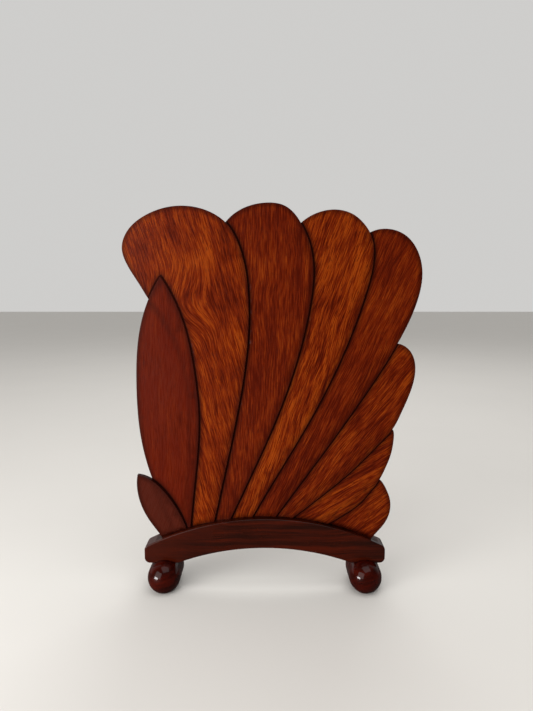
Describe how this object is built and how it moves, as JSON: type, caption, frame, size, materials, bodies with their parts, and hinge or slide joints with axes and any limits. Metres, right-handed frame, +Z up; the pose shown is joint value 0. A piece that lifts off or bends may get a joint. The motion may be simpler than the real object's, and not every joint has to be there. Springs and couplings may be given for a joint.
{
  "type": "fan-shaped wooden fire screen",
  "caption": "Free-standing wooden hearth screen shaped like an open fan: lapped leaves rise from an arched rail standing on oval bun feet, to hide an unused fireplace.",
  "frame": {"origin": "on the floor, midway between the two sides of the fan and midway through the rail's thickness", "axes": "+Z up, +X to the right seen from the shown front, +Y to the back; the leaves' show faces look toward -Y"},
  "size_m": [0.478, 0.092, 0.6351],
  "materials": {
    "petal_wood": "satin lacquer over red-brown hardwood with a fine, straight, streaky grain along each leaf",
    "leaf_dark": "satin lacquer over darker red hardwood, grain upright",
    "leaf_plain": "satin lacquer over plain dark maroon-brown hardwood",
    "rail_wood": "satin lacquer over dark brown hardwood, grain along the rail",
    "foot_wood": "gloss lacquer over dark red hardwood",
    "dowel_wood": "bare pale hardwood",
    "brass": "dulled brass wood screws",
    "screw_steel": "plain zinc-plated steel wood screws"
  },
  "bodies": {
    "root": {"small_leaf": "leaf_plain", "tall_leaf": "leaf_dark", "petal_1": "petal_wood", "petal_2": "petal_wood", "petal_3": "petal_wood", "petal_4": "petal_wood", "petal_5": "petal_wood", "petal_6": "petal_wood", "petal_7": "petal_wood", "rail": "rail_wood", "foot_left": "foot_wood", "foot_right": "foot_wood", "rail_screws": "brass", "lap_screws": "brass", "foot_screws": "screw_steel", "foot_dowels": "dowel_wood"}
  },
  "joints": []
}
